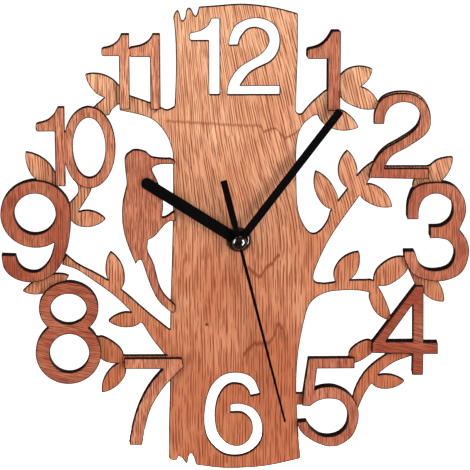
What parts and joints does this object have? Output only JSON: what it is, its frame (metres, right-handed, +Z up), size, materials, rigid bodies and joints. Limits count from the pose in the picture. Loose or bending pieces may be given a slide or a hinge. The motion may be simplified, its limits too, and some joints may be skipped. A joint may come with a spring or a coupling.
{
  "type": "wall clock",
  "caption": "Wall clock cut from thin wood board: a tree carries glued-on numerals, a bird and leaves round a battery quartz movement with three black bar hands",
  "frame": {"origin": "On the axis of the hands, at the wall plane, on the flat back of the movement", "axes": "+X to the viewer's right on the dial, +Y into the wall, +Z up; the dial faces -Y"},
  "size_m": [0.2807, 0.032, 0.2865],
  "materials": {
    "panel_wood": "satin oak veneer on board, edges charred by the laser",
    "numeral_wood": "satin red-brown oak veneer on board, edges charred by the laser",
    "hand_black": "matt black lacquer on aluminium",
    "gloss_black": "polished black",
    "case_plastic": "fine moulded grain",
    "gear_plastic": "moulded acetal",
    "steel": "nickel-plated sheet",
    "brass": "turned brass",
    "rubber": "matt black rubber",
    "copper_wire": "enamelled copper winding",
    "board_green": "green solder mask",
    "cell_jacket": "plain shrink sleeve without print"
  },
  "bodies": {
    "root": {"tree_panel": "panel_wood", "numeral_1": "numeral_wood", "numeral_2": "numeral_wood", "numeral_3": "numeral_wood", "numeral_4": "numeral_wood", "numeral_5": "numeral_wood", "numeral_7": "numeral_wood", "numeral_8": "numeral_wood", "numeral_9": "numeral_wood", "numeral_10": "numeral_wood", "numeral_11": "numeral_wood", "woodpecker": "numeral_wood", "dial_washer": "steel", "fixing_nut": "gloss_black", "rubber_washer": "rubber", "movement_case": "case_plastic", "rear_cover": "case_plastic", "hanger_eye": "steel", "contact_negative": "steel", "contact_positive": "steel", "train_plate": "gear_plastic", "stator_plate": "steel", "drive_coil": "copper_wire", "circuit_board": "board_green", "quartz_crystal": "steel"},
    "second": {"second_wheel": "gear_plastic", "second_hand": "hand_black", "second_hand_cap": "gloss_black"},
    "rotor": {"rotor": "gear_plastic"},
    "intermediate": {"intermediate_wheel": "gear_plastic"},
    "third": {"third_wheel": "gear_plastic"},
    "centre": {"centre_wheel": "gear_plastic"},
    "minute": {"minute_tube": "brass", "minute_hand": "hand_black"},
    "setting": {"setting_wheel": "gear_plastic", "set_knob": "case_plastic"},
    "hour": {"hour_wheel": "gear_plastic", "hour_hand": "hand_black"},
    "battery": {"battery_cell": "cell_jacket"}
  },
  "joints": [
    {"name": "second_turn", "type": "hinge", "parent": "root", "child": "second", "pos_m": [0, -0.01, 0], "axis": [0, 1, 0], "continuous": true},
    {"name": "rotor_turn", "type": "hinge", "parent": "root", "child": "rotor", "pos_m": [-0.01579, -0.008, 0.00556], "axis": [0, 1, 0], "continuous": true},
    {"name": "intermediate_turn", "type": "hinge", "parent": "root", "child": "intermediate", "pos_m": [-0.00886, -0.004, 0.00156], "axis": [0, 1, 0], "continuous": true},
    {"name": "third_turn", "type": "hinge", "parent": "root", "child": "third", "pos_m": [0.0016, -0.007, 0.00906], "axis": [0, 1, 0], "continuous": true},
    {"name": "centre_turn", "type": "hinge", "parent": "root", "child": "centre", "pos_m": [0, -0.008, 0], "axis": [0, 1, 0], "continuous": true},
    {"name": "minute_turn", "type": "hinge", "parent": "root", "child": "minute", "pos_m": [0, -0.011, 0], "axis": [0, 1, 0], "continuous": true},
    {"name": "setting_turn", "type": "hinge", "parent": "root", "child": "setting", "pos_m": [0.00927, -0.011, -0.00248], "axis": [0, 1, 0], "continuous": true},
    {"name": "hour_turn", "type": "hinge", "parent": "root", "child": "hour", "pos_m": [0, -0.013, 0], "axis": [0, 1, 0], "continuous": true},
    {"name": "battery_slide", "type": "slide", "parent": "root", "child": "battery", "axis": [0, 1, 0], "range_m": [0, 0.03]}
  ],
  "couplings": [
    {"joint": "rotor_turn", "follows": "second_turn", "ratio": 30},
    {"joint": "intermediate_turn", "follows": "second_turn", "ratio": -5},
    {"joint": "third_turn", "follows": "second_turn", "ratio": -0.125},
    {"joint": "centre_turn", "follows": "second_turn", "ratio": 0.016667},
    {"joint": "setting_turn", "follows": "minute_turn", "ratio": -0.33333},
    {"joint": "hour_turn", "follows": "minute_turn", "ratio": 0.083333}
  ]
}
